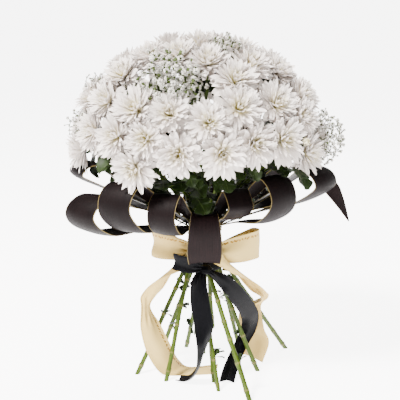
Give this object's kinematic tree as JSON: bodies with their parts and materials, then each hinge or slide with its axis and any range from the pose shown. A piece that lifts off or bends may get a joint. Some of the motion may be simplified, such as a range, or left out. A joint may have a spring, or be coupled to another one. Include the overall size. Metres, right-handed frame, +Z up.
{
  "type": "bunch of chrysanthemums",
  "caption": "Hand-tied bunch of white spray chrysanthemums with gypsophila, a collar of looped dark leaves and cream and black ribbons, standing on its cut stems.",
  "frame": {"origin": "on the floor, at the middle of the bunch's box seen from above", "axes": "+Z up along the bunch's axis from the cut stem ends to the blooms, -Y to the front, +X to the right"},
  "size_m": [0.3734, 0.3132, 0.4597],
  "materials": {
    "petal_white": "matte",
    "stem_green": "satin",
    "dark_leaf": "satin",
    "cream_satin": "satin",
    "black_satin": "satin",
    "twine": "matte"
  },
  "bodies": {
    "root": {"binding_twine": "twine", "black_ribbon": "black_satin", "cream_ribbon": "cream_satin", "dark_leaf_01": "dark_leaf", "dark_leaf_02": "dark_leaf", "dark_leaf_03": "dark_leaf", "dark_leaf_04": "dark_leaf", "dark_leaf_05": "dark_leaf", "dark_leaf_06": "dark_leaf", "dark_leaf_07": "dark_leaf", "dark_leaf_08": "dark_leaf", "dark_leaf_09": "dark_leaf", "dark_leaf_10": "dark_leaf", "dark_leaf_11": "dark_leaf", "dark_leaf_12": "dark_leaf", "gypsophila_1": "petal_white", "gypsophila_2": "petal_white", "gypsophila_3": "petal_white", "gypsophila_4": "petal_white", "gypsophila_5": "petal_white", "gypsophila_6": "petal_white", "spray_01_blooms": "petal_white", "spray_01_stem": "stem_green", "spray_02_blooms": "petal_white", "spray_02_stem": "stem_green", "spray_03_blooms": "petal_white", "spray_03_stem": "stem_green", "spray_04_blooms": "petal_white", "spray_04_stem": "stem_green", "spray_05_blooms": "petal_white", "spray_05_stem": "stem_green", "spray_06_blooms": "petal_white", "spray_06_stem": "stem_green", "spray_07_blooms": "petal_white", "spray_07_stem": "stem_green", "spray_08_blooms": "petal_white", "spray_08_stem": "stem_green", "spray_09_blooms": "petal_white", "spray_09_stem": "stem_green", "spray_10_blooms": "petal_white", "spray_10_stem": "stem_green", "spray_11_blooms": "petal_white", "spray_11_stem": "stem_green", "spray_12_blooms": "petal_white", "spray_12_stem": "stem_green", "spray_13_blooms": "petal_white", "spray_13_stem": "stem_green"}
  },
  "joints": []
}
